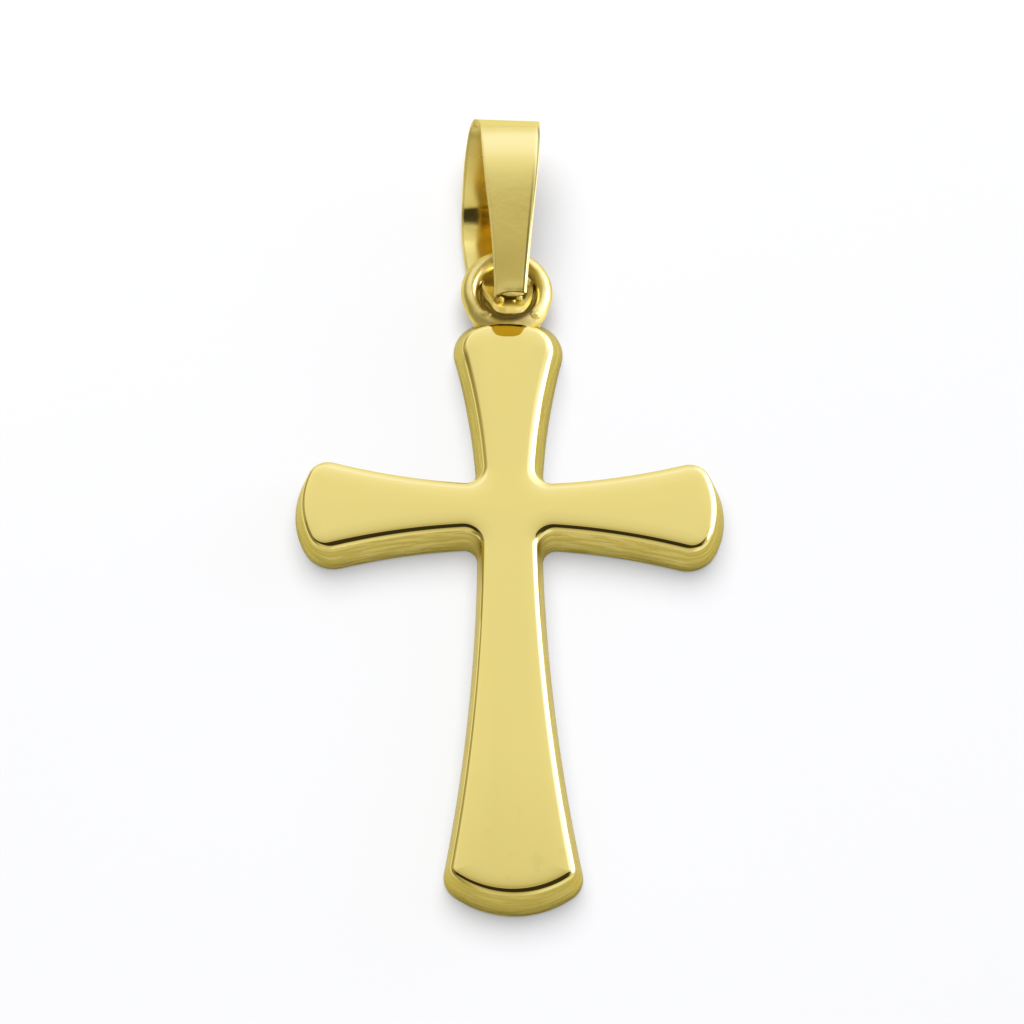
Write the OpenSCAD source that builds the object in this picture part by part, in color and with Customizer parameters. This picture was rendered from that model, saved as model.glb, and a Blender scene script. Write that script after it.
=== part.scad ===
// Gold cross pendant, lying on its back, with a ring soldered to its top and a
// folded bail hanging in the ring. Millimetres. The back lies on z = 0, the face
// looks up, +Y runs towards the bail, and the origin is where the bars cross.

/* [Cross] */
// Width across the two side arms
cross_w = 16; // [13:0.5:20]
// Length of the upper arm, from the middle of the cross
upper_len = 8; // [6.5:0.5:10]
// Length of the foot, from the middle of the cross
foot_len = 16; // [12:0.5:20]
// Thickness from the back to the polished face
cross_t = 1.45; // [1.25:0.05:1.8]
// Width of the bars where they meet, at the back
bar_w = 2.41; // [2.2:0.1:3]
// How far each side of a short arm swings outwards over the arm's length
arm_flare = 1.29; // [1:0.1:1.6]
// How far each side of the foot swings outwards over its length
foot_flare = 1.73; // [1.3:0.1:2.1]
// Radius of the bowed end of a short arm
arm_end_r = 3.05; // [2.6:0.1:4]
// Radius of the bowed end of the foot
foot_end_r = 3.65; // [3.3:0.1:5]
// Radius of the outer corners at the back
outer_corner_r = 0.95; // [0.7:0.05:1.1]
// Radius of the inner corners at the back
inner_corner_r = 0.5; // [0.3:0.05:0.7]

/* [Face] */
// How far the face stands back from the end of the upper arm
upper_step = 0.66; // [0.4:0.02:0.8]
// How far the face stands back from the ends of the side arms
side_step = 0.42; // [0.36:0.02:0.7]
// How far the face stands back from the end of the foot
foot_step = 0.6; // [0.4:0.02:0.8]
// How far the face stands back from each side of a short arm
arm_step = 0.49; // [0.36:0.01:0.6]
// How much further it stands back from the sides of a side arm, at the arm's end
side_arm_taper = 0.08; // [0:0.02:0.15]
// How far the face stands back from each side of the foot, at the middle of the cross
root_step = 0.33; // [0.25:0.01:0.5]
// How far the face stands back from each side of the foot, at its end
foot_side_step = 0.56; // [0.36:0.02:0.7]
// Radius of the outer corners of the face
face_corner_r = 0.18; // [0.1:0.02:0.3]
// Radius of the inner corners of the face
face_inner_r = 0.8; // [0.5:0.05:1]

/* [Edges] */
// Share of the step back that the straight side wall takes, below the round edge
wall_share = 0.6; // [0.5:0.05:0.75]
// Height of the round edge between the side walls and the face
face_edge_h = 0.17; // [0.1:0.01:0.25]
// Height of the round edge that lies on the table
back_edge_h = 0.1; // [0.04:0.02:0.16]

/* [Ring] */
// Radius of the ring's hole
hole_r = 1.07; // [1:0.01:1.2]
// Radius of the ring's wire
wire_r = 0.32; // [0.26:0.01:0.36]
// How far the ring's far side dips towards the table, in degrees
ring_dip = 5.5; // [0:0.5:7]
// Radius of the solder fillets where the ring meets the upper arm
solder_r = 0.3; // [0.2:0.05:0.6]

/* [Bail] */
// Length of the bail, tip to top
bail_len = 7.83; // [7:0.1:10]
// Width of the strip at the top of the bail
bail_top_w = 2.3; // [1.9:0.1:2.8]
// Width of the strip at the soldered tip
bail_tip_w = 1.26; // [1:0.02:1.3]
// Thickness of the strip
strip_t = 0.25; // [0.2:0.01:0.28]
// How far the tip reaches below the ring's centre
tip_drop = 1.52; // [1.4:0.02:1.7]
// Gap between the cross's face and the front leaf
tip_gap = 1.17; // [0.9:0.05:1.5]
// How far the front leaf sits to the right of the middle
bail_side = 0.01; // [0:0.01:0.1]
// How far the back leaf strays to the left of the front leaf
bail_lean = 0.7; // [0.5:0.05:0.75]
// Turn of the back leaf about its own length, in degrees
bail_turn = 7; // [0:1:9]
// Gap between the strip and the ring's wire above it
pass_gap = 0.07; // [0.05:0.01:0.12]

/* [Hidden] */

// The bail lies this far above the table
table_gap = 0.01;

// Where two circles meet, on the left of the line from the first to the second
function meet(c1, r1, c2, r2) =
    let (d = c2 - c1, l = norm(d), a = (l * l + r1 * r1 - r2 * r2) / (2 * l),
         h = sqrt(max(0, r1 * r1 - a * a)), u = d / l)
    c1 + u * a + [-u[1], u[0]] * h;

function turned(p, angle) = [p[0] * cos(angle) - p[1] * sin(angle), p[0] * sin(angle) + p[1] * cos(angle)];
function heading(from, to) = atan2(to[1] - from[1], to[0] - from[0]);

// The shorter way round from one angle to another
function way(a, b) = let (d = (b - a) % 360) d > 180 ? d - 360 : d < -180 ? d + 360 : d;

function arc(c, r, a, b, steps) =
    [for (i = [0 : steps - 1]) let (t = a + way(a, b) * i / steps) c + r * [cos(t), sin(t)]];

// The arms of an outline, anticlockwise from the upper one: length, half the width
// at the root, flare of each side, and radius of the end
LENGTH = 0;
ROOT = 1;
FLARE = 2;
END_R = 3;
back_arms = [
    [upper_len, bar_w / 2, arm_flare, arm_end_r],
    [cross_w / 2, bar_w / 2, arm_flare, arm_end_r],
    [foot_len, bar_w / 2, foot_flare, foot_end_r],
    [cross_w / 2, bar_w / 2, arm_flare, arm_end_r],
];
upper_face = upper_len - upper_step;
side_face = cross_w / 2 - side_step;
foot_face = foot_len - foot_step;
short_root = bar_w / 2 - arm_step;
foot_root = bar_w / 2 - root_step;
side_flare = arm_flare - side_arm_taper;
face_arms = [
    [upper_face, short_root, arm_flare * pow(upper_face / upper_len, 2), arm_end_r - 0.1],
    [side_face, short_root, side_flare * pow(side_face * 2 / cross_w, 2), arm_end_r],
    [foot_face, foot_root, (foot_flare + root_step - foot_side_step) * pow(foot_face / foot_len, 2), foot_end_r - 0.1],
    [side_face, short_root, side_flare * pow(side_face * 2 / cross_w, 2), arm_end_r],
];
function side_r(arm) = (pow(arm[LENGTH], 2) + pow(arm[FLARE], 2)) / (2 * arm[FLARE]);

// Centres of the circles that an arm's right side, right corner and end lie on
function side_c(arm) = [arm[ROOT] + side_r(arm), 0];
function end_c(arm) = [0, arm[LENGTH] - arm[END_R]];
function corner_c(arm, r) = meet(end_c(arm), arm[END_R] - r, side_c(arm), side_r(arm) + r);
function flipped(p) = [-p[0], p[1]];

// The inner corner between an arm's left side and the next arm's right side: the
// centre of its circle, and the direction from there to the middle of the corner
function left_c(arms, k) = turned(flipped(side_c(arms[k])), 90 * k);
function next_c(arms, k) = turned(side_c(arms[(k + 1) % 4]), 90 * (k + 1));
function pit_c(arms, k, r) =
    meet(next_c(arms, k), side_r(arms[(k + 1) % 4]) - r, left_c(arms, k), side_r(arms[k]) - r);
function pit_middle(arms, k, r) =
    let (c = pit_c(arms, k, r), a = heading(left_c(arms, k), c))
    a + way(a, heading(next_c(arms, k), c)) / 2;

// One arm of an outline, from the middle of one inner corner to the next
pit_steps = 4;
side_steps = 9;
corner_steps = 6;
end_steps = 14;
function arm_outline(arms, k, corner_r, pit_r) =
    let (arm = arms[k], last = (k + 3) % 4, r = side_r(arm), turn = 90 * k,
         right = next_c(arms, last), left = left_c(arms, k), middle = turned(end_c(arm), turn),
         right_corner = turned(corner_c(arm, corner_r), turn),
         left_corner = turned(flipped(corner_c(arm, corner_r)), turn),
         right_pit = pit_c(arms, last, pit_r), left_pit = pit_c(arms, k, pit_r))
    concat(
        arc(right_pit, pit_r, pit_middle(arms, last, pit_r), heading(right, right_pit), pit_steps),
        arc(right, r, heading(right, right_pit), heading(right, right_corner), side_steps),
        arc(right_corner, corner_r, heading(right_corner, right), heading(middle, right_corner), corner_steps),
        arc(middle, arm[END_R], heading(middle, right_corner), heading(middle, left_corner), end_steps),
        arc(left_corner, corner_r, heading(middle, left_corner), heading(left_corner, left), corner_steps),
        arc(left, r, heading(left, left_corner), heading(left, left_pit), side_steps),
        arc(left_pit, pit_r, heading(left, left_pit), pit_middle(arms, k, pit_r), pit_steps));
arm_points = 2 * (pit_steps + side_steps + corner_steps) + end_steps;
back_outline = [for (k = [0 : 3]) each arm_outline(back_arms, k, outer_corner_r, inner_corner_r)];
face_outline = [for (k = [0 : 3]) each arm_outline(face_arms, k, face_corner_r, face_inner_r)];

// The flat of the cross is cut across each arm, from one side to the other, with
// a four-sided piece left in the middle
flat = concat(
    [[for (k = [0 : 3]) k * arm_points]],
    [for (k = [0 : 3], i = [0 : arm_points / 2 - 1])
        let (far = [for (j = [arm_points - i - 1, arm_points - i]) if (j > i + 1) j])
        [for (j = concat([i, i + 1], far)) (k * arm_points + j) % (4 * arm_points)]]);

// The wall in section, bottom to top: [share of the way in to the face, height].
// The round edge under the face starts with the lean of the wall, in degrees.
back_steps = 2;
edge_steps = 5;
wall_lean = 15;
wall_top = cross_t - face_edge_h;
wall = concat(
    [for (i = [0 : back_steps]) let (t = 90 * i / back_steps) [0.2 * (1 - sin(t)), back_edge_h * (1 - cos(t))]],
    [for (i = [0 : edge_steps]) let (t = wall_lean + (90 - wall_lean) * i / edge_steps)
        [1 - (1 - wall_share) * cos(t) / cos(wall_lean),
         wall_top + face_edge_h * (sin(t) - sin(wall_lean)) / (1 - sin(wall_lean))]]);

// A solid through closed rows of points, each with as many points as the first.
// ends lists the faces that close the first row, and the last one.
module skin(rows, ends) {
    n = len(rows[0]);
    last = n * (len(rows) - 1);
    sides = [for (j = [0 : n : last - n], i = [0 : n - 1])
        let (k = (i + 1) % n) [j + i, j + i + n, j + k + n, j + k]];
    far_ends = [for (f = ends) [for (i = [len(f) - 1 : -1 : 0]) last + f[i]]];
    polyhedron([for (row = rows) each row], concat(sides, ends, far_ends));
}

module cross_body() {
    skin([for (level = wall) [for (i = [0 : len(back_outline) - 1])
        [each back_outline[i] + level[0] * (face_outline[i] - back_outline[i]), level[1]]]], flat);
}

module ring() {
    translate([0, ring_y, ring_z])
        rotate([-ring_dip, 0, 0])
            rotate_extrude($fn = 96)
                translate([ring_r, 0])
                    circle(r = wire_r, $fn = 32);
}

// Solder drawn into the corners between the ring and the upper arm's end
module solder() {
    middle = [0, upper_len - arm_end_r];
    fillet_c = meet(middle, arm_end_r - joint_inset + solder_r, [0, ring_y], ring_r + wire_r + solder_r);
    for (side = [0, 1])
        mirror([side, 0])
            translate([0, 0, joint_z - wire_r * 0.9])
                linear_extrude(wire_r * 1.6)
                    difference() {
                        polygon([[0, ring_y], fillet_c, middle]);
                        translate(fillet_c)
                            circle(solder_r, $fn = 48);
                        translate([0, ring_y])
                            circle(ring_r, $fn = 96);
                    }
}

module cross() {
    color("gold") {
        cross_body();
        ring();
        solder();
    }
}

// The folded strip, row by row: up the front leaf, over the top and down the
// back leaf. Each row is in shares of the bail's own sizes.
ALONG = 0; // of the bail's length, from the tip
DEPTH = 1; // of the way from the front leaf to the belly
LEAN = 2; // of bail_lean, to the left
WIDE = 3; // of the way from the tip's width to the top's
TURN = 4; // of bail_turn
LEAVES = [
    [0.099, 0.09, 0.02, 0.00, 0.0],
    [0.190, 0.07, -0.01, 0.04, 0.0],
    [0.420, 0.03, -0.04, 0.34, 0.0],
    [0.730, -0.01, -0.04, 0.76, 0.0],
    [0.880, 0.01, -0.05, 0.91, 0.0],
    [0.940, 0.05, -0.05, 0.95, 0.0],
    [0.978, 0.13, -0.03, 0.98, 0.0],
    [0.997, 0.20, 0.08, 1.02, -0.2],
    [1.000, 0.27, 0.26, 1.02, -0.4],
    [0.984, 0.35, 0.42, 1.00, -0.2],
    [0.937, 0.44, 0.57, 0.96, 0.4],
    [0.850, 0.59, 0.74, 0.91, 0.8],
    [0.760, 0.75, 0.85, 0.86, 1.0],
    [0.674, 0.90, 0.92, 0.82, 1.0],
    [0.620, 0.955, 0.96, 0.79, 1.0],
    [0.570, 0.98, 0.99, 0.76, 0.9],
    [0.500, 0.995, 1.00, 0.71, 0.8],
    [0.450, 1.00, 0.98, 0.68, 0.7],
];

// The stretch that comes forward through the ring. Here ALONG is in shares of the
// ring's radius, from its centre, and LEAN in shares of the play that the strip
// has in the hole.
THROUGH = [
    [0.86, 1.00, 1.30, 0.65, 0.3],
    [0.60, 0.97, 0.87, 0.63, 0.0],
    [0.38, 0.89, 0.06, 0.60, 0.0],
    [0.20, 0.76, 0.06, 0.58, 0.0],
    [0.02, 0.62, 0.12, 0.57, 0.0],
    [-0.27, 0.45, 0.06, 0.48, 0.0],
    [-0.55, 0.28, 0.00, 0.23, 0.0],
    [-0.80, 0.14, 0.09, -0.06, 0.0],
    [-1.03, 0.02, 0.07, -0.21, 0.0],
];

// The belly, which is the last row of LEAVES, clears the table, and the ring clears
// the belly. One edge of the belly dips below its middle and the other rises as far.
function strip_half(row) = (bail_tip_w + row[WIDE] * (bail_top_w - bail_tip_w)) / 2;
belly = LEAVES[len(LEAVES) - 1];
belly_tilt = strip_half(belly) * sin(belly[TURN] * bail_turn);
belly_z = table_gap + belly_tilt + strip_t / 2;
ring_r = hole_r + wire_r;
ring_rise = ring_r * sin(ring_dip);
ring_z = belly_z + belly_tilt + strip_t / 2 + pass_gap + wire_r + ring_rise;

// The ring's near side is sunk into the upper arm's end wall, up to its hole
joint_z = ring_z + ring_rise;
joint_inset = upper_step * wall_share * (joint_z - back_edge_h) / (wall_top - back_edge_h);
ring_y = upper_len - joint_inset + hole_r;

// Where the front leaf and its tip lie, and the sideways play in the ring
front_z = cross_t + tip_gap + strip_t / 2;
tip_y = ring_y - tip_drop;
play = bail_side + hole_r - bail_tip_w / 2;

// Steps between two rows, and points round each edge of the strip
row_steps = 3;
edge_points = 5;

function strip_row(row, x, y) =
    [x, y, front_z - row[DEPTH] * (front_z - belly_z), strip_half(row), row[TURN] * bail_turn];
strip_rows = concat(
    [for (row = LEAVES) strip_row(row, bail_side - row[LEAN] * bail_lean, tip_y + row[ALONG] * bail_len)],
    [for (row = THROUGH) strip_row(row, bail_side - row[LEAN] * play, ring_y + row[ALONG] * ring_r)]);

// A smooth curve through the rows, which keeps to the first and last of them
function smooth(rows, k, t) =
    let (last = len(rows) - 1, a = rows[max(0, k - 1)], b = rows[k], c = rows[k + 1], d = rows[min(last, k + 2)])
    (2 * b + (c - a) * t + (2 * a - 5 * b + 4 * c - d) * pow(t, 2) + (3 * (b - c) + d - a) * pow(t, 3)) / 2;
strip = [for (k = [0 : len(strip_rows) - 2], i = [0 : row_steps - (k == len(strip_rows) - 2 ? 0 : 1)])
    smooth(strip_rows, k, i / row_steps)];

// The strip's section at one row: flat faces and round edges, square to the way
// it runs, with the width level unless the leaf is turned
function place(row) = [row[0], row[1], row[2]];
function strip_section(i) =
    let (row = strip[i],
         ahead = place(strip[min(len(strip) - 1, i + 1)]) - place(strip[max(0, i - 1)]),
         flat_in = cross(ahead, [1, 0, 0]), inward = flat_in / norm(flat_in),
         across = [cos(row[4]), 0, 0] - inward * sin(row[4]),
         up = inward * cos(row[4]) + [sin(row[4]), 0, 0],
         flat_w = row[3] - strip_t / 2)
    [for (side = [1, -1], j = [0 : edge_points - 1]) let (a = 180 * j / (edge_points - 1) - 90)
        place(row) + side * (across * (flat_w + strip_t / 2 * cos(a)) + up * strip_t / 2 * sin(a))];

// Solder that closes the strip, under the end of the front leaf
module tip_solder() {
    end = strip[0];
    translate([end[0], end[1], end[2] - strip_t * 1.2])
        rotate([0, 90, 0])
            cylinder(h = bail_tip_w - strip_t, r = strip_t * 0.94, center = true, $fn = 28);
}

module bail() {
    color("goldenrod") {
        skin([for (i = [0 : len(strip) - 1]) strip_section(i)], [[for (j = [0 : 2 * edge_points - 1]) j]]);
        tip_solder();
    }
}

cross();
bail();
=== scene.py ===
import math

import bmesh
import bpy
from mathutils import Matrix, Vector, noise


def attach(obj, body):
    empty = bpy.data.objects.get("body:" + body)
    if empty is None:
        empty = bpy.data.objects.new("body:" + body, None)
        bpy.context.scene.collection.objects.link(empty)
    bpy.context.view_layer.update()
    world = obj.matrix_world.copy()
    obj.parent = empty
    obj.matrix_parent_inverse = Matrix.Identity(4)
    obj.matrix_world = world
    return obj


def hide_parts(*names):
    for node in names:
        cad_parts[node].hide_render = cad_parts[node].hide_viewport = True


# A gold cross pendant lies on its back on a white table, with its bail folded
# over in the ring at its top. The pieces are drawn in millimetres and brought
# to metres when they are finished. +Y runs from the foot to the bail.
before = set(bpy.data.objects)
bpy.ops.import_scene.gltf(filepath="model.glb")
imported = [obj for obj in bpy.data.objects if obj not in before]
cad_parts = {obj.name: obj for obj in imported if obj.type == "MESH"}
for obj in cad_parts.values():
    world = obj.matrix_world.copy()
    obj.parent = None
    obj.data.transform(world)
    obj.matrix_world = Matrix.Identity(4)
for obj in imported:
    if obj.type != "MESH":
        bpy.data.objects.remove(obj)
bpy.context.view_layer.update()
MM = 0.001


# The cross
# A cast gold cross with bowed sides and ends. Its back is flat, its walls lean
# in and are brushed, and the mirror-polished face has a softly rounded edge.
upper_len = 8.0
side_len = 8.0
foot_len = 15.93
thickness = 1.45
bar_half = 1.205
back_corner_r = 1.2
back_pit_r = 0.5
face_corner_r = 0.5
face_pit_r = 0.8

# How far the face stands in from the back's outline: at the ends, then at the sides
# of the short arms, of the foot's root and of the foot's end
upper_step = 0.80
side_step = 0.42
foot_step = 0.55
arm_step = 0.53
root_step = 0.33
foot_side_step = 0.56

# How far the sides of an arm swing out, at the back and at the face
short_flare = 1.29
side_flare_at_face = 1.21
foot_flare = 1.73

# The ends' and the corners' radii where they differ from arm to arm
short_end_r = 3.05
upper_end_r_at_face = 2.95
upper_corner_r_at_face = 0.68
foot_end_r = 3.65
foot_end_r_at_face = 3.55
foot_corner_r = 0.95
foot_corner_r_at_face = 0.2

# The side arms hang a little low of the middle
side_drop = 0.045


def shortened(flare, length, cut):
    """How far the same curve swings out on an arm that is cut to a shorter length."""
    return flare * (cut / length) ** 2


# Each arm, anticlockwise from the upper one: its length, half its width at the
# middle of the cross, how far each side swings out, the radius of its end, how
# far it stands to the right of the middle, and the radius of its corners
back_plan = [
    (upper_len, bar_half, short_flare, short_end_r, 0.0, back_corner_r),
    (side_len, bar_half, short_flare, short_end_r, -side_drop, back_corner_r),
    (foot_len, bar_half, foot_flare, foot_end_r, 0.0, foot_corner_r),
    (side_len, bar_half, short_flare, short_end_r, side_drop, back_corner_r),
]
upper_face = upper_len - upper_step
side_face = side_len - side_step
foot_face = foot_len - foot_step
short_root = bar_half - arm_step
foot_root = bar_half - root_step
upper_flare = shortened(short_flare, upper_len, upper_face)
side_flare = shortened(side_flare_at_face, side_len, side_face)
lower_flare = shortened(foot_flare + root_step - foot_side_step, foot_len, foot_face)
face_plan = [
    (upper_face, short_root, upper_flare, upper_end_r_at_face, 0.0, upper_corner_r_at_face),
    (side_face, short_root, side_flare, short_end_r, -side_drop, face_corner_r),
    (foot_face, foot_root, lower_flare, foot_end_r_at_face, 0.0, foot_corner_r_at_face),
    (side_face, short_root, side_flare, short_end_r, side_drop, face_corner_r),
]
# The face lies a little to the left, as if polished further down on its right side
face_shift = -0.12

# Into how many short lines each arc of the outline is cut
pit_steps = 6
side_steps = 26
corner_steps = 9
end_steps = 24

# No corner gets sharper than this where the outline is set in
least_corner_r = 0.02


def meeting_point(c1, r1, c2, r2):
    """Where two circles meet, on the left of the line from the first to the second."""
    apart = c2 - c1
    along = (apart.length_squared + r1 * r1 - r2 * r2) / (2 * apart.length)
    off = math.sqrt(max(0.0, r1 * r1 - along * along))
    ahead = apart.normalized()
    return c1 + ahead * along + Vector((-ahead.y, ahead.x)) * off


def heading(start, end):
    """The direction from one point to another, as an angle."""
    return math.atan2(end.y - start.y, end.x - start.x)


def shorter_way(start, end):
    """The shorter turn from one heading to another."""
    return (end - start + math.pi) % (2 * math.pi) - math.pi


def pour(part, bm):
    """Moves everything drawn in part into bm."""
    mesh = bpy.data.meshes.new("part")
    part.to_mesh(mesh)
    part.free()
    bm.from_mesh(mesh)
    bpy.data.meshes.remove(mesh)


def cross_outline(bm, plan, pit_r, inset, shift, height):
    """Adds a closed outline of the cross at a height, drawn arc by arc, and returns its edges."""
    turns = [Matrix.Rotation(math.radians(90 * k), 2) for k in range(4)]
    sides = []
    for length, root, flare, _, offset, _ in plan:
        radius = (length ** 2 + flare ** 2) / (2 * flare)
        sides.append((root + radius, radius + inset, offset))
    pit_r = pit_r + inset

    def right_side(k):
        return turns[k % 4] @ Vector((sides[k % 4][2] + sides[k % 4][0], 0))

    def left_side(k):
        return turns[k % 4] @ Vector((sides[k % 4][2] - sides[k % 4][0], 0))

    def pit(k):
        """The inner corner after arm k: its centre and the heading of its middle."""
        ahead = (k + 1) % 4
        ahead_r = sides[ahead][1] - pit_r
        behind_r = sides[k % 4][1] - pit_r
        centre = meeting_point(right_side(ahead), ahead_r, left_side(k), behind_r)
        first = heading(left_side(k), centre)
        return centre, first + shorter_way(first, heading(right_side(ahead), centre)) / 2

    row = bmesh.new()
    centre, middle = pit(-1)
    start = centre + Vector((math.cos(middle), math.sin(middle))) * pit_r
    first = bmesh.ops.create_vert(row, co=(start.x + shift, start.y, height))["vert"][0]
    last = first
    for k, (length, _, _, end_r, offset, corner_r) in enumerate(plan):
        end_c = Vector((offset, length - end_r))
        side_x, side_r = sides[k][:2]
        side_c = Vector((offset + side_x, 0))
        corner_r = max(corner_r - inset, least_corner_r)
        corner_c = meeting_point(end_c, end_r - inset - corner_r, side_c, side_r + corner_r)
        end = turns[k] @ end_c
        right_corner = turns[k] @ corner_c
        left_corner = turns[k] @ Vector((2 * offset - corner_c.x, corner_c.y))
        right, left = right_side(k), left_side(k)
        right_pit, right_middle = pit(k - 1)
        left_pit, left_middle = pit(k)
        arcs = [
            (right_pit, right_middle, heading(right, right_pit), pit_steps),
            (right, heading(right, right_pit), heading(right, right_corner), side_steps),
            (right_corner, heading(right_corner, right), heading(end, right_corner), corner_steps),
            (end, heading(end, right_corner), heading(end, left_corner), end_steps),
            (left_corner, heading(end, left_corner), heading(left_corner, left), corner_steps),
            (left, heading(left, left_corner), heading(left, left_pit), side_steps),
            (left_pit, heading(left, left_pit), left_middle, pit_steps),
        ]
        for centre, begin, finish, steps in arcs:
            drawn = bmesh.ops.spin(
                row, geom=[last], cent=(centre.x + shift, centre.y, height), axis=(0, 0, 1), dvec=(0, 0, 0),
                angle=shorter_way(begin, finish), steps=steps, use_merge=False, use_duplicate=False)
            last = drawn["geom_last"][0]
    bmesh.ops.pointmerge(row, verts=[first, last], merge_co=first.co)
    known = len(bm.edges)
    pour(row, bm)
    bm.edges.ensure_lookup_table()
    return bm.edges[known:]


def between(low, high, share):
    """The value that lies a share of the way on from low to high."""
    return low + (high - low) * share


def smooth_piece(name, bm, shader):
    """Turns a drawn mesh into a smooth-shaded piece, in metres."""
    bmesh.ops.scale(bm, vec=(MM, MM, MM), verts=bm.verts)
    mesh = bpy.data.meshes.new(name)
    bm.to_mesh(mesh)
    bm.free()
    mesh.polygons.foreach_set("use_smooth", [True] * len(mesh.polygons))
    mesh.materials.append(shader)
    piece = bpy.data.objects.new(name, mesh)
    bpy.context.scene.collection.objects.link(piece)
    return piece


def pendant_piece(name, bm, shader):
    """Makes a piece that belongs to the pendant and rides on it."""
    piece = smooth_piece(name, bm, shader)
    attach(piece, "root")
    return piece


class Wire:
    """A socket of a shader. A sum written with wires becomes Math nodes."""

    def __init__(self, shader, socket):
        self.shader = shader
        self.socket = socket

    def maths(self, operation, *others):
        """This wire and the others, put through a Math node."""
        sockets = dict(enumerate((self,) + others))
        return self.shader.node("ShaderNodeMath", {"operation": operation}, sockets)

    def __add__(self, other):
        return self.maths("ADD", other)

    def __sub__(self, other):
        return self.maths("SUBTRACT", other)

    def __rsub__(self, other):
        return (self * -1.0) + other

    def __mul__(self, other):
        return self.maths("MULTIPLY", other)

    __radd__ = __add__
    __rmul__ = __mul__

    def ramped(self, low, high, start=0.0, end=1.0):
        """Goes softly from start to end while this wire goes from low to high."""
        sockets = {"Value": self, "From Min": low, "From Max": high, "To Min": start, "To Max": end}
        return self.shader.node("ShaderNodeMapRange", {"interpolation_type": "SMOOTHSTEP"}, sockets)

    def output(self, name):
        """Another output of the node that this wire comes from."""
        return Wire(self.shader, self.socket.node.outputs[name])


class Shader:
    """The nodes of a material, a light or the studio."""

    def __init__(self, owner):
        owner.use_nodes = True
        self.tree = owner.node_tree
        self.tree.nodes.clear()

    def node(self, kind, settings, sockets):
        """Makes a node with its settings, and with values or wires on its sockets."""
        made = self.tree.nodes.new(kind)
        for name, value in settings.items():
            if name == "stops":
                made.color_ramp.elements.remove(made.color_ramp.elements[0])
                for i, (place, grey) in enumerate(value):
                    stop = made.color_ramp.elements[0] if i == 0 else made.color_ramp.elements.new(place)
                    stop.position = place
                    stop.color = (grey, grey, grey, 1)
            else:
                setattr(made, name, value)
        for name, value in sockets.items():
            if isinstance(value, Wire):
                self.tree.links.new(value.socket, made.inputs[name])
            else:
                made.inputs[name].default_value = value
        return Wire(self, made.outputs[0]) if made.outputs else None

    def millimetres(self):
        """The place on the piece that is being coloured."""
        place = self.node("ShaderNodeTexCoord", {}, {}).output("Object")
        return self.node("ShaderNodeVectorMath", {"operation": "SCALE"}, {0: place, "Scale": 1000.0})

    def axis(self, place, name):
        """X, Y or Z alone."""
        return self.node("ShaderNodeSeparateXYZ", {}, {0: place}).output(name)

    def stretched(self, place, stretch):
        return self.node("ShaderNodeVectorMath", {"operation": "MULTIPLY"}, {0: place, 1: stretch})

    def cloud(self, place, scale, detail=3.0):
        """Soft noise between 0 and 1."""
        return self.node("ShaderNodeTexNoise", {}, {"Vector": place, "Scale": scale, "Detail": detail})


# The colour of polished gold, of satin gold, and of either at a grazing look
GOLD = (0.845, 0.705, 0.240, 1)
SATIN_GOLD = (0.54, 0.425, 0.095, 1)
GRAZED_GOLD = (0.95, 0.88, 0.50, 1)


def gold(name, dullness_and_shade, grime_and_shade, roughness, relief, relief_height):
    """A gold finish. Its satin share, darkening, roughness and relief are made from a place in millimetres.
    On some pieces the satin share and the darkening also hold painted shade and painted light.
    """
    material = bpy.data.materials.new(name)
    shader = Shader(material)
    place = shader.millimetres()
    colour = shader.node("ShaderNodeMix", {"data_type": "RGBA"}, {
        "Factor": dullness_and_shade(shader, place), 6: GOLD, 7: SATIN_GOLD}).output(2)
    colour = shader.node("ShaderNodeVectorMath", {"operation": "SCALE"}, {
        0: colour, "Scale": 1.0 - grime_and_shade(shader, place)})
    bump = shader.node("ShaderNodeBump", {}, {
        "Height": relief(shader, place), "Strength": 1.0, "Distance": relief_height * MM})
    metal = shader.node("ShaderNodeBsdfPrincipled", {}, {
        "Base Color": colour, "Metallic": 1.0, "Roughness": roughness(shader, place), "Normal": bump,
        "Specular Tint": GRAZED_GOLD})
    shader.node("ShaderNodeOutputMaterial", {}, {"Surface": metal})
    return material


# The height at which the brushed wall turns into the polished edge
edge_z = 1.27


def wall_share(shader, place):
    """1 on the brushed wall and the back, 0 on the polished edge and face."""
    height = shader.axis(place, "Z")
    return height.ramped(edge_z - 0.01, edge_z + 0.08, 1.0, 0.0)


def toward_foot(shader, place):
    """1 at the foot's end, 0 from the foot's middle up."""
    return shader.axis(place, "Y").ramped(-16.0, -9.0, 1.0, 0.0)


def streaks(shader, place):
    """The strokes of the brush, which ran along the walls."""
    return shader.cloud(shader.stretched(place, (0.7, 0.7, 7.0)), 1.0, 4.0)


def cross_dullness_and_shade(shader, place):
    """The wall is satin, more so between the strokes. The foot's end is painted a little darker, a painted
    shade that stands in for its dimmer reflection.
    """
    wear = streaks(shader, place).ramped(0.36, 0.64, 0.55, 1.15)
    return wall_share(shader, place) * wear + toward_foot(shader, place) * 0.2


def cross_grime(shader, place):
    """Faint fingermarks low on the foot."""
    fingermarks = shader.cloud(shader.stretched(place, (2.4, 1.2, 1.0)), 0.8, 4.0).ramped(0.58, 0.70)
    return fingermarks * toward_foot(shader, place) * 0.05


def cross_roughness(shader, place):
    """The face is a mirror with faint smudges."""
    smudges = shader.cloud(place, 0.55, 5.0).ramped(0.52, 0.75)
    return 0.05 + smudges * 0.035 + wall_share(shader, place) * 0.22


def cross_relief(shader, place):
    """The brush's strokes and the casting's grain, on the wall alone."""
    grain = shader.cloud(place, 13.0, 2.0)
    return (streaks(shader, place) + grain * 0.12) * wall_share(shader, place)


wall_bumps = 0.03
cross_gold = gold("cross_gold", cross_dullness_and_shade, cross_grime, cross_roughness, cross_relief, wall_bumps)

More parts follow.
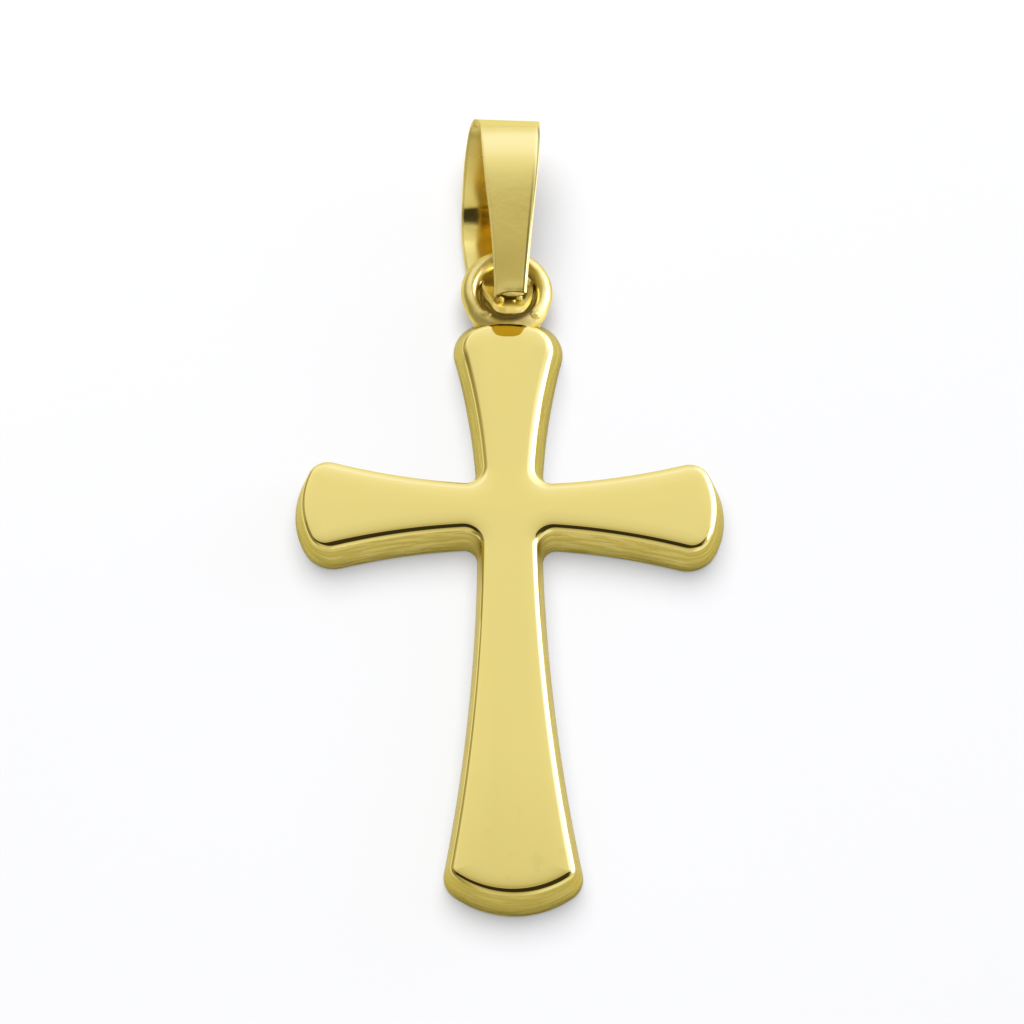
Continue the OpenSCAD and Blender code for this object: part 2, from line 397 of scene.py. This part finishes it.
# Inside the round edge the face still rises a little, most of it over this run
shoulder_rise = 0.015
shoulder_run = 0.25

# The wall in section: the share of the way in from the back's outline to the
# face's, and the height. It starts under the back's eased edge and runs up to
# where the round edge starts.
back_edge = 0.05
wall_end_share = 0.55
wall_rows = [(0.1, 0.0), (0.03, 0.014), (0.0, back_edge)]
for climb in (0.35, 0.7, 0.96):
    wall_rows.append((wall_end_share * climb, between(back_edge, edge_z, climb)))

# The round edge, walked inwards from the wall: a tight arc, then a wider and
# flatter one. Each has its slope at both ends, in degrees, and its radius.
edge_arcs = [(75, 25, 0.17), (25, 9, 0.66)]
arc_rows = 7
edge_walk = [(0.0, 0.0)]
for steep, flat, radius in edge_arcs:
    for i in range(arc_rows):
        low = math.radians(between(steep, flat, i / arc_rows))
        high = math.radians(between(steep, flat, (i + 1) / arc_rows))
        inward, up = edge_walk[-1]
        inward += radius * (math.sin(low) - math.sin(high))
        up += radius * (math.cos(high) - math.cos(low))
        edge_walk.append((inward, up))
edge_width, edge_height = edge_walk[-1]
for inward, up in edge_walk:
    wall_rows.append((
        between(wall_end_share, 1.0, inward / edge_width),
        between(edge_z, thickness - shoulder_rise, up / edge_height)))

# How far in the outlines lie that draw the face's last rise
face_insets = (0.025, 0.06, 0.11, 0.18, 0.27, 0.4, 0.56)

# The round edge is narrower at the end of the upper arm
upper_wall_end = 0.78


def upper_share(share):
    """A share of the way in from the wall's foot, for the end of the upper arm."""
    if share < wall_end_share:
        return share * upper_wall_end / wall_end_share
    return between(upper_wall_end, 1.0, (share - wall_end_share) / (1 - wall_end_share))


bm = bmesh.new()
rows = []
for share, height in wall_rows:
    plan = [tuple(between(b, f, share) for b, f in zip(*arms)) for arms in zip(back_plan, face_plan)]
    upper_end = between(upper_len, upper_face, upper_share(share))
    plan[0] = (upper_end,) + plan[0][1:]
    pit_r = between(back_pit_r, face_pit_r, share)
    rows.append(cross_outline(bm, plan, pit_r, 0.0, face_shift * share, height))
for inset in face_insets:
    height = thickness - shoulder_rise * math.exp(-inset / shoulder_run)
    rows.append(cross_outline(bm, face_plan, face_pit_r, inset, face_shift, height))
for lower, upper in zip(rows, rows[1:]):
    bmesh.ops.bridge_loops(bm, edges=lower + upper)
bmesh.ops.contextual_create(bm, geom=rows[0])
bmesh.ops.contextual_create(bm, geom=rows[-1])
bmesh.ops.recalc_face_normals(bm, faces=bm.faces)
cross_body = pendant_piece("cross_body", bm, cross_gold)
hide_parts("cross")


# The ring
# A closed ring of round gold wire. Its near side is let into the end of the
# upper arm and soldered there, so that it grows a collar towards the arm.
wire_r = 0.32
ring_r = 1.39
ring_dip = 5.5
ring_centre = Vector((-0.07, 8.7396, 0.9513))

# How far the collar stands out, and how far round from the arm it starts and is full
collar = 0.12
collar_start = math.radians(72)
collar_full = math.radians(40)

# The wire isn't quite even. Points of it that are this close are one point.
wobble_depth = 0.008
wobble_scale = 2.3
same_place = 0.0005
on_edge = Matrix.Rotation(math.radians(90), 4, "X")
ring_tilt = Matrix.Rotation(math.radians(-ring_dip), 3, "X")


def eased(value, low, high):
    """Goes softly from 0 to 1 while the value goes from low to high."""
    share = min(1.0, max(0.0, (value - low) / (high - low)))
    return share * share * (3 - 2 * share)


def toward_arm(shader, place):
    """1 where the ring is let into the arm, 0 from its middle up."""
    return shader.axis(place, "Y").ramped(7.6, 8.5, 1.0, 0.0)


def solder_relief(shader, place):
    """The shallow lumps and fine grain of metal that has been hot."""
    return shader.cloud(place, 2.6, 2.0) + shader.cloud(place, 11.0, 2.0) * 0.1


def ring_roughness(shader, place):
    """The ring is half polished, and rougher where the solder flowed."""
    return 0.27 + shader.cloud(place, 1.3, 3.0) * 0.1 + toward_arm(shader, place) * 0.16


def solder_roughness(shader, place):
    """The solder is a little rougher than the ring."""
    return ring_roughness(shader, place) + 0.07


def ring_dullness(shader, place):
    """Broad patches where the polish is gone."""
    return shader.cloud(place, 0.8, 2.0).ramped(0.3, 0.8, 0.0, 0.6)


def tarnish(shader, place):
    """Dark patches on the wire. The metal is paler towards the arm."""
    return shader.cloud(place, 1.7, 3.0).ramped(0.5, 0.8) * 0.2 - toward_arm(shader, place) * 0.14


ring_bumps = 0.02
solder_bumps = 0.05
ring_gold = gold("ring_gold", ring_dullness, tarnish, ring_roughness, solder_relief, ring_bumps)
solder_gold = gold("solder_gold", ring_dullness, tarnish, solder_roughness, solder_relief, solder_bumps)

bm = bmesh.new()
bmesh.ops.create_circle(bm, segments=40, radius=wire_r, matrix=Matrix.Translation((ring_r, 0, 0)) @ on_edge)
bmesh.ops.spin(
    bm, geom=bm.verts[:] + bm.edges[:], cent=(0, 0, 0), axis=(0, 0, 1), dvec=(0, 0, 0),
    angle=math.tau, steps=160, use_merge=True, use_duplicate=False)
bmesh.ops.remove_doubles(bm, verts=bm.verts, dist=same_place)
for vert in bm.verts:
    around = math.atan2(abs(vert.co.x), -vert.co.y)
    reach = math.hypot(vert.co.x, vert.co.y)
    grown = collar * (1 - eased(around, collar_full, collar_start)) * max(0.0, reach - ring_r) / wire_r
    wobble = wobble_depth * noise.noise(vert.co * wobble_scale)
    vert.co.x *= 1 + (grown + wobble) / reach
    vert.co.y *= 1 + (grown + wobble) / reach
bmesh.ops.recalc_face_normals(bm, faces=bm.faces)
bmesh.ops.rotate(bm, cent=(0, 0, 0), matrix=ring_tilt, verts=bm.verts)
bmesh.ops.translate(bm, vec=ring_centre, verts=bm.verts)
ring = pendant_piece("ring", bm, ring_gold)
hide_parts("cross")


# The solder at the ring
# Gold solder that has run into the corners between the ring and the arm. It
# stands in two pale beads on the ring and has pooled low inside it.
def solder_beads(bm, start, beads):
    """Adds beads of solder: balls drawn out and roughened, each centred that far from start."""
    for centre, (wide, long, high), lumpiness in beads:
        ball = bmesh.ops.create_icosphere(bm, subdivisions=4, radius=1.0)["verts"]
        centre = start + Vector(centre)
        for vert in ball:
            lump = 1 + lumpiness * noise.noise(vert.co * 1.9 + centre * 3.1)
            reach = Vector((vert.co.x * wide, vert.co.y * long, vert.co.z * high))
            vert.co = centre + reach * lump


# Each bead's centre and half its size, both across, along and up, and how lumpy it
# is: in both corners one beside the arm and one on the wire, then the pool
ring_beads = [
    ((-1.02, 7.50, 0.90), (0.24, 0.22, 0.30), 0.08),
    ((-0.82, 7.68, 1.30), (0.25, 0.18, 0.12), 0.10),
    ((1.02, 7.50, 0.90), (0.24, 0.22, 0.30), 0.08),
    ((1.02, 7.68, 1.30), (0.25, 0.18, 0.12), 0.10),
    ((0.0, 8.05, 0.46), (1.02, 0.85, 0.16), 0.05),
]
bm = bmesh.new()
solder_beads(bm, Vector((ring_centre.x, 0, 0)), ring_beads)

# The lips that the solder left inside the ring, round the side towards the arm.
# Each has its radius, half its thickness, its depth below the ring's middle and
# how many degrees past the ring's widest place it ends.
solder_lips = [
    (1.06, 0.20, 0.38, 8),
    (1.15, 0.16, 0.30, 30),
    (0.90, 0.18, 0.62, 25),
    (1.08, 0.09, 0.065, -50),
]
for lip_r, lip_half, lip_drop, lip_end in solder_lips:
    lip = bmesh.new()
    lip_end = math.radians(lip_end)
    start = Matrix.Rotation(lip_end, 4, "Z") @ Matrix.Translation((lip_r, 0, 0)) @ on_edge
    bmesh.ops.create_circle(lip, cap_ends=True, segments=20, radius=lip_half, matrix=start)
    bmesh.ops.spin(
        lip, geom=lip.faces[:], cent=(0, 0, 0), axis=(0, 0, 1), dvec=(0, 0, 0),
        angle=-math.pi - 2 * lip_end, steps=72, use_merge=False, use_duplicate=False)
    bmesh.ops.rotate(lip, cent=(0, 0, 0), matrix=ring_tilt, verts=lip.verts)
    bmesh.ops.translate(lip, vec=ring_centre - Vector((0, 0, lip_drop)), verts=lip.verts)
    pour(lip, bm)
bmesh.ops.recalc_face_normals(bm, faces=bm.faces)
ring_solder = pendant_piece("ring_solder", bm, solder_gold)


# The bail
# One strip of gold sheet, folded over at the top and brought forward through
# the ring, where its two tips are soldered together. Its edges are eased.
bail_len = 7.83
bail_top_w = 2.3
bail_tip_w = 1.26
strip_t = 0.25
strip_edge_r = 0.095

# How far right of the cross's middle it starts, how far its middle strays to the
# left on the leaves and in the ring, and the back leaf's turn in degrees
bail_side = 0.01
bail_lean = 0.7
ring_play = 0.45
bail_turn = 7.0

# The height of the front leaf and of the lowest place, and the front leaf's end
front_z = 2.745
belly_z = 0.219
tip_y = ring_centre.y - 1.52

# Up the front leaf, over the top and down the back leaf. Each row has shares of
# the bail's length, of the way down to the belly, of the lean to the left, of the
# way from the tip's width to the top's, and of the turn.
leaves = [
    (0.109, 0.09, 0.07, -0.10, 0.0),
    (0.190, 0.07, 0.03, -0.06, 0.0),
    (0.420, 0.03, -0.03, 0.21, 0.0),
    (0.730, -0.01, -0.05, 0.70, 0.0),
    (0.880, 0.01, -0.045, 0.87, 0.0),
    (0.940, 0.05, -0.04, 0.89, 0.0),
    (0.978, 0.13, -0.02, 0.93, 0.0),
    (0.997, 0.20, 0.08, 0.98, -0.2),
    (1.000, 0.27, 0.26, 1.01, -0.4),
    (0.984, 0.35, 0.42, 1.00, -0.2),
    (0.937, 0.44, 0.57, 0.96, 0.1),
    (0.850, 0.59, 0.74, 0.91, 0.35),
    (0.760, 0.75, 0.85, 0.86, 0.6),
    (0.674, 0.90, 0.92, 0.82, 0.4),
    (0.620, 0.955, 0.96, 0.79, 0.2),
    (0.570, 0.98, 0.99, 0.76, 0.2),
    (0.500, 0.995, 1.00, 0.71, 0.3),
    (0.450, 1.00, 0.98, 0.68, 0.4),
]
# On through the ring, in shares of the ring's radius, of the way down to the belly,
# of the play in the ring, and of the widths and the turn as before
through = [
    (0.86, 1.00, 1.30, 0.65, 0.3),
    (0.60, 0.97, 0.87, 0.63, 0.0),
    (0.38, 0.89, 0.06, 0.64, 0.0),
    (0.20, 0.76, 0.06, 0.64, 0.0),
    (0.02, 0.62, 0.12, 0.60, 0.0),
    (-0.27, 0.45, 0.06, 0.48, 0.0),
    (-0.55, 0.28, 0.00, 0.23, 0.0),
    (-0.80, 0.14, 0.06, -0.02, 0.0),
    (-0.92, 0.08, 0.06, -0.20, 0.0),
    (-0.99, 0.05, 0.06, -0.43, 0.0),
    (-1.03, 0.035, 0.06, -0.86, 0.0),
]


def strip_row(x, y, depth, wide, turn):
    """The middle of the strip at one row, half its width and its turn."""
    height = between(front_z, belly_z, depth)
    return (x, y, height, between(bail_tip_w, bail_top_w, wide) / 2, turn * bail_turn)


strip_rows = [
    strip_row(bail_side - lean * bail_lean, tip_y + along * bail_len, depth, wide, turn)
    for along, depth, lean, wide, turn in leaves
] + [
    strip_row(bail_side - lean * ring_play, ring_centre.y + along * ring_r, depth, wide, turn)
    for along, depth, lean, wide, turn in through
]
row_steps = 8


def smoothed(rows, k, t):
    """A point on a smooth curve through the rows, a share t of the way on from row k."""
    a, b, c, d = (rows[min(len(rows) - 1, max(0, k + i))] for i in (-1, 0, 1, 2))
    return [
        (2 * q + (r - p) * t + (2 * p - 5 * q + 4 * r - s) * t ** 2 + (3 * (q - r) + s - p) * t ** 3) / 2
        for p, q, r, s in zip(a, b, c, d)
    ]


strip = [
    smoothed(strip_rows, k, i / row_steps)
    for k in range(len(strip_rows) - 1)
    for i in range(row_steps)
]
strip.append(list(strip_rows[-1]))
strip_columns = 20

# The front leaf's end droops on its left. Its right edge is filed down, less and
# less over the first rows.
end_droop = 0.22
filed_from = 0.88
filed_depth = 0.05
filed_rows = row_steps * 8

bm = bmesh.new()
bm.loops.layers.uv.new("along_and_across")
bmesh.ops.create_grid(bm, x_segments=len(strip) - 1, y_segments=strip_columns, size=0.5, calc_uvs=True)
for vert in bm.verts:
    k = round((vert.co.x + 0.5) * (len(strip) - 1))
    side = vert.co.y * 2
    x, y, z, half, turn = strip[k]
    ahead = Vector(strip[min(len(strip) - 1, k + 1)][:3]) - Vector(strip[max(0, k - 1)][:3])
    inward = ahead.cross(Vector((1, 0, 0))).normalized()
    turn = math.radians(turn)
    across = Vector((math.cos(turn), 0, 0)) - inward * math.sin(turn)
    droop = end_droop * max(0.0, -side) ** 2 * max(0.0, 1 - k / row_steps)
    filed = filed_depth * max(0.0, side - filed_from) / (1 - filed_from) * max(0.0, 1 - k / filed_rows)
    vert.co = Vector((x, y - droop, z)) + across * half * side + inward * filed
bmesh.ops.recalc_face_normals(bm, faces=bm.faces)

# Places on the strip, in shares of its length from the front leaf's end: the fold
# that couldn't be reached to polish, from its start to where it is over, and the
# pocket between the tips, which is painted dark as shade
fold_start = 0.165
fold_full = 0.195
fold_thins = 0.35
fold_end = 0.49
pocket_start = 0.80
pocket_end = 0.875
pocket_edge = 0.01


def strip_shares(shader):
    """Wires of the share of the strip's length and of its width."""
    shares = shader.node("ShaderNodeUVMap", {"uv_map": "along_and_across"}, {})
    split = shader.node("ShaderNodeSeparateXYZ", {}, {0: shares})
    return split.output("X"), split.output("Y")


def bail_roughness(shader, place):
    """The front leaf is polished, the fold, the left edge and the lower leaf less so."""
    haze = shader.cloud(place, 1.1, 5.0).ramped(0.45, 0.75)
    along, across = strip_shares(shader)
    fold = along.ramped(fold_start, fold_full) * along.ramped(fold_thins, fold_end, 1.0, 0.0)
    back_leaf = along.ramped(0.40, 0.50)
    lower_leaf = along.ramped(0.60, 0.66)
    left_edge = across.ramped(0.02, 0.05, 1.0, 0.0)
    return 0.085 + haze * 0.03 + fold * 0.2 + back_leaf * 0.03 + lower_leaf * 0.16 + left_edge * 0.3


def bail_dullness(shader, place):
    """Faint broad patches."""
    return shader.cloud(place, 0.4, 2.0).ramped(0.4, 0.8) * 0.2


def bail_flecks_and_shade(shader, place):
    """Flecks at the front leaf's end, and painted shade: dark lines beside its edges that stand in for dark
    reflections, and the pocket between the tips painted dark.

    The right edge is painted darker down to the fold as shade, and the inside of the bail is painted paler
    as painted light.
    """
    along, across = strip_shares(shader)
    front = along.ramped(0.06, 0.13, 1.0, 0.0)
    # The lines by the edges are painted shade, standing in for dark reflections
    right_line = across.ramped(0.895, 0.92) * across.ramped(0.935, 0.955, 1.0, 0.0)
    left_line = across.ramped(0.03, 0.05) * across.ramped(0.05, 0.09, 1.0, 0.0)
    end = across.ramped(0.5, 0.9) * along.ramped(0.005, 0.03, 1.0, 0.0)
    flecks = shader.cloud(place, 7.0, 3.0).ramped(0.52, 0.62) * end
    # The pocket between the tips is painted dark, as painted shade
    pocket = along.ramped(pocket_start, pocket_start + pocket_edge)
    pocket = pocket * along.ramped(pocket_end - pocket_edge, pocket_end, 1.0, 0.0)
    pocket = pocket * across.ramped(0.18, 0.28) * across.ramped(0.86, 0.92, 1.0, 0.0)
    # The inside of the bail is painted paler as painted light, and the right edge darker as painted shade
    inside = along.ramped(0.30, 0.36) * along.ramped(0.60, 0.66, 1.0, 0.0) + along.ramped(0.88, 0.90)
    right_edge = across.ramped(0.955, 0.972) * along.ramped(0.17, 0.20, 1.0, 0.0)
    painted_lines_and_flecks = front * (right_line * 0.7 + left_line * 0.12 + flecks * 0.35) + right_edge * 0.6
    return painted_lines_and_flecks + pocket * 0.85 - inside * 0.14


bail_bumps = 0.0015
bail_gold = gold("bail_gold", bail_dullness, bail_flecks_and_shade, bail_roughness, solder_relief, bail_bumps)
bail = pendant_piece("bail", bm, bail_gold)
sheet = bail.modifiers.new("thickness", "SOLIDIFY")
sheet.thickness = strip_t * MM
sheet.offset = 0.0
sheet.use_even_offset = True
eased_edge = bail.modifiers.new("eased_edge", "BEVEL")
eased_edge.width = strip_edge_r * MM
eased_edge.segments = 4
eased_edge.limit_method = "ANGLE"
eased_edge.angle_limit = math.radians(50)
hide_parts("bail")


# The solder at the bail's tip
# The front leaf ends short of the lower leaf's tip. Solder holds them together
# deep between them, lines the front leaf's end and stands in three small blobs.
tip_beads = [
    ((0.0, 0.3, -0.30), (0.48, 0.2, 0.17), 0.05),
    ((0.12, -0.02, 0.0), (0.44, 0.09, 0.13), 0.1),
    ((-0.33, -0.21, -0.13), (0.14, 0.126, 0.14), 0.2),
    ((0.17, -0.27, -0.13), (0.07, 0.063, 0.07), 0.2),
    ((0.38, -0.13, -0.13), (0.11, 0.099, 0.11), 0.2),
]
bm = bmesh.new()
solder_beads(bm, Vector(strip[0][:3]), tip_beads)
bmesh.ops.recalc_face_normals(bm, faces=bm.faces)
tip_solder = pendant_piece("tip_solder", bm, solder_gold)


# The table
# A white sheet that runs out past the camera's view and glows a little from
# below, as a lit table does, so that no shadow on it is very dark.
table_half = 1500.0
table_gap = 0.02
sheet_grey = 0.5
unevenness = 0.005
glow = 0.25
bm = bmesh.new()
bmesh.ops.create_grid(bm, x_segments=1, y_segments=1, size=table_half)
bmesh.ops.translate(bm, vec=(0, 0, -table_gap), verts=bm.verts)
white_sheet = bpy.data.materials.new("white_sheet")
shader = Shader(white_sheet)
patches = shader.cloud(shader.millimetres(), 0.02)
grey = patches.ramped(0.3, 0.7, sheet_grey - unevenness, sheet_grey + unevenness)
tint = shader.node("ShaderNodeCombineXYZ", {}, {0: grey, 1: grey, 2: grey})
paper = shader.node("ShaderNodeBsdfPrincipled", {}, {
    "Base Color": tint, "Roughness": 0.9, "Specular IOR Level": 0.0,
    "Emission Color": (0.985, 0.99, 1.0, 1), "Emission Strength": glow})
shader.node("ShaderNodeOutputMaterial", {}, {"Surface": paper})
table = smooth_piece("table", bm, white_sheet)


# The studio
# A white tent, cool where it is bright and warm where it is dim. It has a dark gap
# where the camera looks in, and a bright card stands on its right. A soft key light
# hangs at the back.
studio = bpy.data.worlds.new("studio")
bpy.context.scene.world = studio
shader = Shader(studio)
direction = shader.node("ShaderNodeTexCoord", {}, {}).output("Generated")
split = shader.node("ShaderNodeSeparateXYZ", {}, {0: direction})
side = split.output("X")
back = split.output("Y")
up = split.output("Z")

# How bright the tent is, by the angle in degrees up from the back and over the top
half_turn = 180.0
gap_from = 80.5
gap_to = 111.0
tent_stops = [
    (0.0, 0.85),
    (25.0, 1.05),
    (55.0, 1.22),
    (62.0, 1.12),
    (68.0, 0.96),
    (71.0, 0.83),
    (72.4, 0.76),
    (73.6, 0.58),
    (74.8, 0.565),
    (76.5, 0.73),
    (78.0, 0.75),
    (gap_from, 0.05),
    (gap_to, 0.03),
    (118.0, 0.62),
    (135.0, 0.70),
    (half_turn, 0.85),
]
over = up.maths("ARCTAN2", back) * (1 / math.pi)
tent = shader.node("ShaderNodeValToRGB", {
    "stops": [(angle / half_turn, bright) for angle, bright in tent_stops]}, {"Fac": over})

# The gap is filled again towards its two ends
across_gap = over.ramped(0.43, 0.45) * over.ramped(0.62, 0.66, 1.0, 0.0)
gap_ends = side.maths("ABSOLUTE").ramped(0.45, 0.75) * across_gap
tent = tent + gap_ends * 0.6

# The tent is dimmer on its left and brighter on its right, where the card stands
left_side = side.ramped(-0.78, -0.32, 0.40, 1.0)
right_side = side.ramped(0.05, 0.5) * 0.4
card_middle = Vector((0.80, 0.37, 0.47)).normalized()
card_strength = 2.6
nearness = shader.node("ShaderNodeVectorMath", {"operation": "DOT_PRODUCT"}, {0: direction, 1: card_middle})
right_card = nearness.output("Value").ramped(0.90, 0.95) * card_strength
strength = tent * left_side + right_side * tent + right_card

# The table gets a plain, weaker light from the tent, so that the key casts shadows
table_strength = 0.14
floor_light = shader.node("ShaderNodeLightPath", {}, {}).output("Diffuse Depth").maths("MINIMUM", 1.0)
coolness = strength.ramped(0.97, 1.25) * (1.0 - floor_light)
warmth = strength.ramped(0.45, 0.93, 1.0, 0.0) * (1.0 - floor_light)
tint = shader.node("ShaderNodeCombineXYZ", {}, {
    0: 1.0, 1: coolness * 0.04 - warmth * 0.09 + 1.0, 2: coolness * 0.55 - warmth * 0.38 + 1.0})
sky = shader.node("ShaderNodeBackground", {}, {
    "Color": tint, "Strength": strength * (1.0 - floor_light) + floor_light * table_strength})
shader.node("ShaderNodeOutputWorld", {}, {"Surface": sky})

# The key light casts the shadows on the table and isn't mirrored in the metal
key = bpy.data.lights.new("key", "AREA")
key.shape = "DISK"
key.size = 0.7
key.energy = 7.9
key_light = bpy.data.objects.new("key", key)
bpy.context.scene.collection.objects.link(key_light)
key_light.location = (-0.04, 0.31, 0.57)
key_light.rotation_mode = "QUATERNION"
key_light.rotation_quaternion = Vector(key_light.location).to_track_quat("Z", "Y")
key_light.visible_glossy = False


# The camera
# It looks down from the foot's side, turned slightly so that the cross leans as
# it does in the photograph.
picture_px = 1024
px_per_mm = 26.8
camera_dist = 1500.0
sensor = 36.0
elevation = math.radians(68)
azimuth = math.radians(-6.5)
roll = math.radians(6.43)
aim = Vector((0.09, 0.28, 0.0))
right = Vector((math.cos(azimuth), math.sin(azimuth), 0))
toward = Vector((
    math.sin(azimuth) * math.cos(elevation),
    -math.cos(azimuth) * math.cos(elevation),
    math.sin(elevation)))
upward = toward.cross(right)
picture_right = right * math.cos(roll) + upward * math.sin(roll)
picture_up = upward * math.cos(roll) - right * math.sin(roll)
lens = bpy.data.cameras.new("camera")
lens.sensor_width = sensor
lens.lens = sensor * camera_dist * px_per_mm / picture_px
lens.clip_start = 0.01
lens.clip_end = 10.0
camera = bpy.data.objects.new("camera", lens)
bpy.context.scene.collection.objects.link(camera)
turn = Matrix((picture_right, picture_up, toward)).transposed().to_4x4()
camera.matrix_world = Matrix.Translation((aim + toward * camera_dist) * MM) @ turn
bpy.context.scene.camera = camera
bpy.context.scene.view_settings.view_transform = "Standard"
